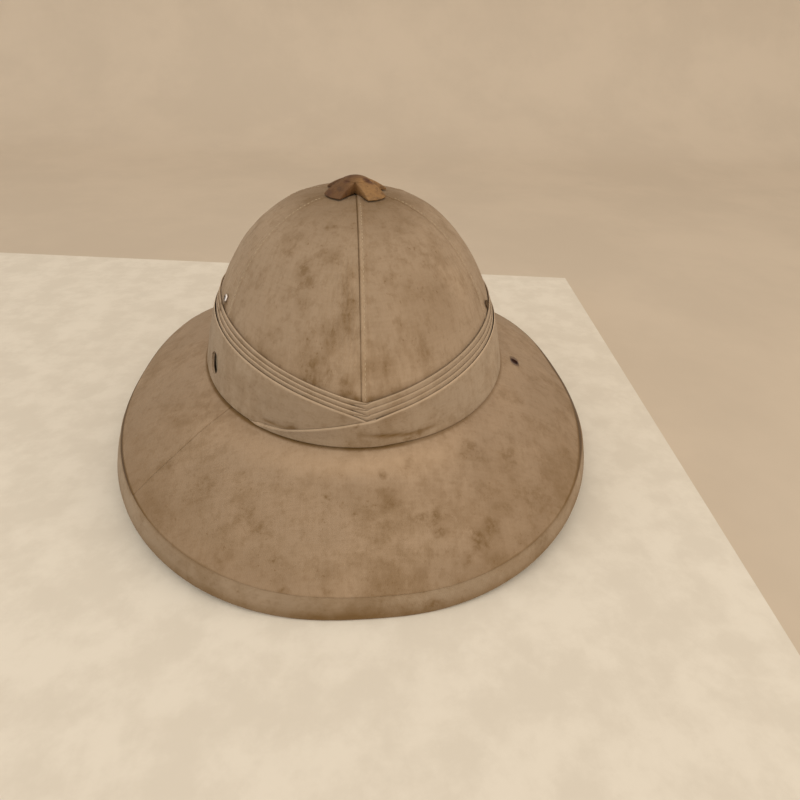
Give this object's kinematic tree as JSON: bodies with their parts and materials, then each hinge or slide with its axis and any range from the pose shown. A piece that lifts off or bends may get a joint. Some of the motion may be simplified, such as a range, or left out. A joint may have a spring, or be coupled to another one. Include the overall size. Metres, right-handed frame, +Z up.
{
  "type": "pith helmet",
  "caption": "Cloth-covered pith sun helmet with a deep sloping brim, a pleated cloth band and a leather ventilator cap.",
  "frame": {"origin": "under the middle of the helmet, on the surface that its front and rear edges rest on", "axes": "+Z up through the crown; -Y towards the front of the helmet, with the band's crossed folds; +X to the right as seen from the front"},
  "size_m": [0.3114, 0.3794, 0.165],
  "materials": {
    "pith": "bare moulded pith, cream and matt",
    "khaki_drill": "worn khaki cotton drill, stained",
    "khaki_band": "khaki cotton, folded and pressed",
    "brown_leather": "worn brown leather, dark in its hollows",
    "steel": "dull grey metal"
  },
  "bodies": {
    "root": {"pith_shell": "pith", "crown_panel_1": "khaki_drill", "crown_panel_2": "khaki_drill", "crown_panel_3": "khaki_drill", "crown_panel_4": "khaki_drill", "crown_panel_5": "khaki_drill", "crown_panel_6": "khaki_drill", "brim_cover": "khaki_drill", "edge_binding": "khaki_drill", "wrap_left": "khaki_band", "wrap_right": "khaki_band", "fold_left_1": "khaki_band", "fold_left_2": "khaki_band", "fold_left_3": "khaki_band", "fold_right_1": "khaki_band", "fold_right_2": "khaki_band", "fold_right_3": "khaki_band", "cap_petals": "brown_leather", "cap_button": "brown_leather", "eyelet_left": "steel", "eyelet_right": "steel"}
  },
  "joints": []
}
